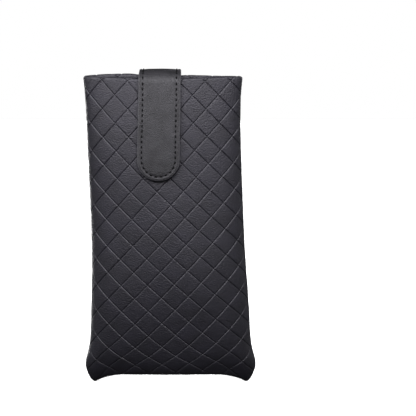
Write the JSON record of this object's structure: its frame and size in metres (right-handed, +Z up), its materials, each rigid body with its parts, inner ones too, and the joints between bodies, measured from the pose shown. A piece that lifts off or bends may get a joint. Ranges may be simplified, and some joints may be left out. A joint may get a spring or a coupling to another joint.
{
  "type": "eyeglasses case",
  "caption": "Upright soft glasses pouch with embossed panels, a flat base and a magnetic tab over its open mouth.",
  "frame": {"origin": "centre of the flat base, on the surface that the case stands on", "axes": "+Z up to the mouth, front and tab tip towards -Y, +X to the right seen from the front"},
  "size_m": [0.0948, 0.034, 0.1788],
  "materials": {
    "embossed_leather": "fine-grained coated leather, satin, embossed with a diamond lattice",
    "tab_leather": "fine-grained coated leather, satin, smooth, with painted edges",
    "lining": "short-napped microfibre",
    "foam": "closed-cell foam sheet",
    "board": "pressed board",
    "thread": "bonded polyester thread",
    "magnet": "nickel-plated disc"
  },
  "bodies": {
    "pouch": {"front_panel": "embossed_leather", "back_panel": "embossed_leather", "front_stiffener": "foam", "back_stiffener": "foam", "base_board": "board", "front_lining": "lining", "back_lining": "lining", "left_seam_thread": "thread", "right_seam_thread": "thread", "catch_magnet": "magnet", "tab_root_outer": "tab_leather", "tab_root_core": "foam", "tab_root_backing": "tab_leather", "tab_root_thread": "thread"},
    "tab_crown": {"tab_crown_outer": "tab_leather", "tab_crown_core": "foam", "tab_crown_backing": "tab_leather", "tab_crown_thread": "thread"},
    "tab_leaf": {"tab_leaf_outer": "tab_leather", "tab_leaf_core": "foam", "tab_leaf_backing": "tab_leather", "tab_leaf_thread": "thread", "tab_magnet": "magnet"}
  },
  "joints": [
    {"name": "tab_lift", "type": "hinge", "parent": "pouch", "child": "tab_crown", "pos_m": [0, 0.0083, 0.1777], "axis": [-1, 0, 0], "range_deg": [0, 150]},
    {"name": "tab_bend", "type": "hinge", "parent": "tab_crown", "child": "tab_leaf", "pos_m": [0, -0.00862, 0.17601], "axis": [-1, 0, 0], "range_deg": [0, 110]}
  ]
}
